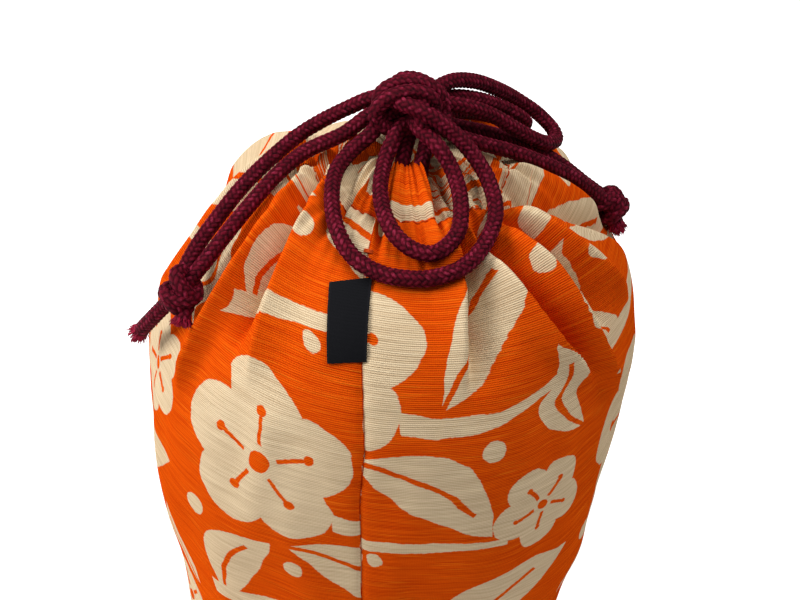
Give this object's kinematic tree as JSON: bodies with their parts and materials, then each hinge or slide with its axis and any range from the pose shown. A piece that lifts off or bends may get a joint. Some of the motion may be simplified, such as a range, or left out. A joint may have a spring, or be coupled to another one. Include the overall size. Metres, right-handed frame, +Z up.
{
  "type": "drawstring bag",
  "caption": "Filled furoshiki-cloth pouch with a flat base, drawn shut by round braided cords that are tied in a bow over the gathered mouth",
  "frame": {"origin": "middle of the flat base, on the surface that the bag stands on", "axes": "+Z up through the gathered mouth, -Y towards the front side seam with the label, +X to the right seen from the front"},
  "size_m": [0.195, 0.1896, 0.2717],
  "materials": {
    "printed_cotton": "matte slub cotton, bright orange with a cream print",
    "woven_ribbon": "matte black woven ribbon",
    "braided_cord": "deep burgundy round braid with a soft sheen"
  },
  "bodies": {
    "root": {"bag_body": "printed_cotton", "side_label": "woven_ribbon", "bow_knot": "braided_cord", "left_end_knot": "braided_cord", "right_end_knot": "braided_cord", "front_riser_left": "braided_cord", "front_riser_right": "braided_cord", "back_riser_left": "braided_cord", "back_riser_right": "braided_cord", "front_loop_outer": "braided_cord", "front_loop_inner": "braided_cord", "back_loop_outer": "braided_cord", "back_loop_inner": "braided_cord", "left_tail_1": "braided_cord", "left_tail_2": "braided_cord", "right_tail_1": "braided_cord", "right_tail_2": "braided_cord", "left_end_1": "braided_cord", "left_end_2": "braided_cord", "right_end_1": "braided_cord", "right_end_2": "braided_cord"}
  },
  "joints": []
}
